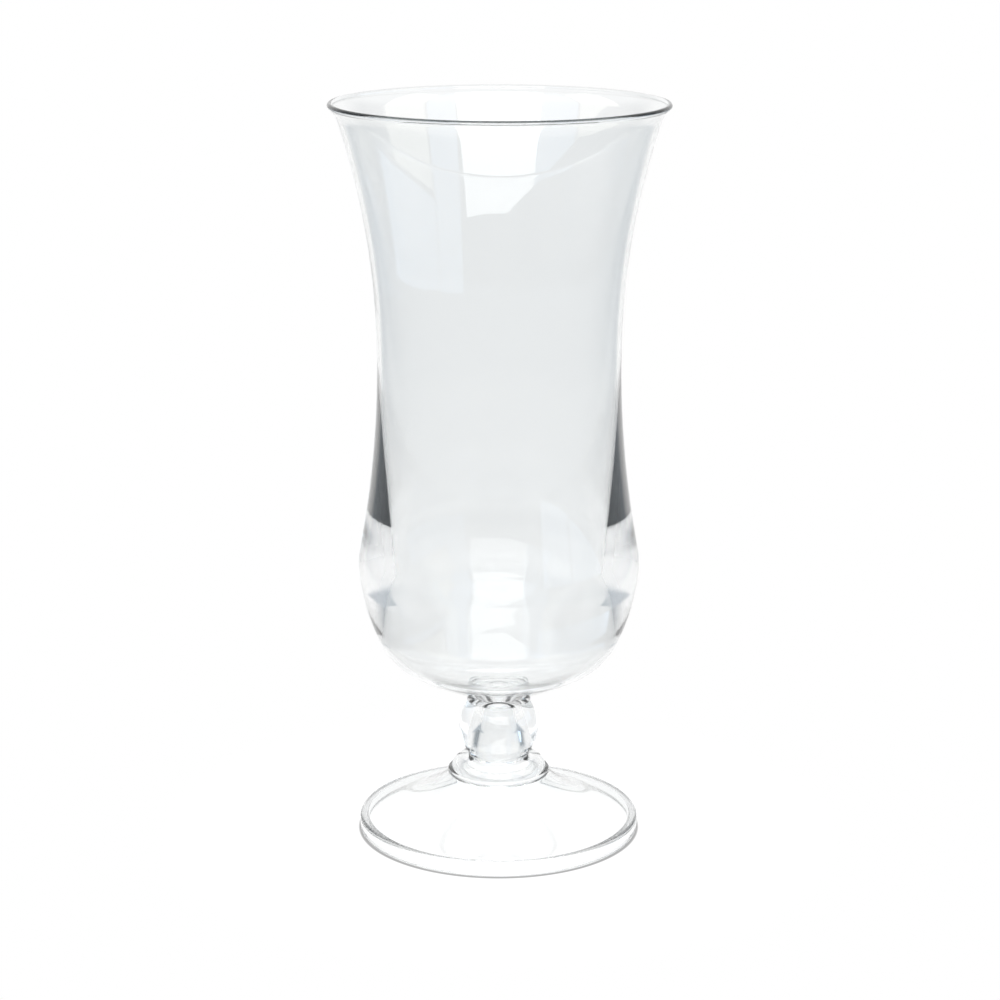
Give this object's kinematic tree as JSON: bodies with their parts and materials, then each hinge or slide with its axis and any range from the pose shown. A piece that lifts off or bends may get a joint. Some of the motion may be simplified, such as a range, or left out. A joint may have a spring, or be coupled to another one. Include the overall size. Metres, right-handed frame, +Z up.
{
  "type": "hurricane glass",
  "caption": "Footed drinking glass with a flared rim, a slim waist and a low bulb on a short barrel knop, a domed collar, a bead ring and a hollow spreading foot.",
  "frame": {"origin": "centre of the standing ring under the foot, on the table", "axes": "+Z up along the axis of revolution, from the foot to the rim; X and Y are free, because the glass is round"},
  "size_m": [0.0896, 0.0896, 0.2],
  "materials": {
    "clear_glass": "clear, fire-polished"
  },
  "bodies": {
    "root": {"foot": "clear_glass", "bead_ring": "clear_glass", "collar": "clear_glass", "knop": "clear_glass", "bowl": "clear_glass"}
  },
  "joints": []
}
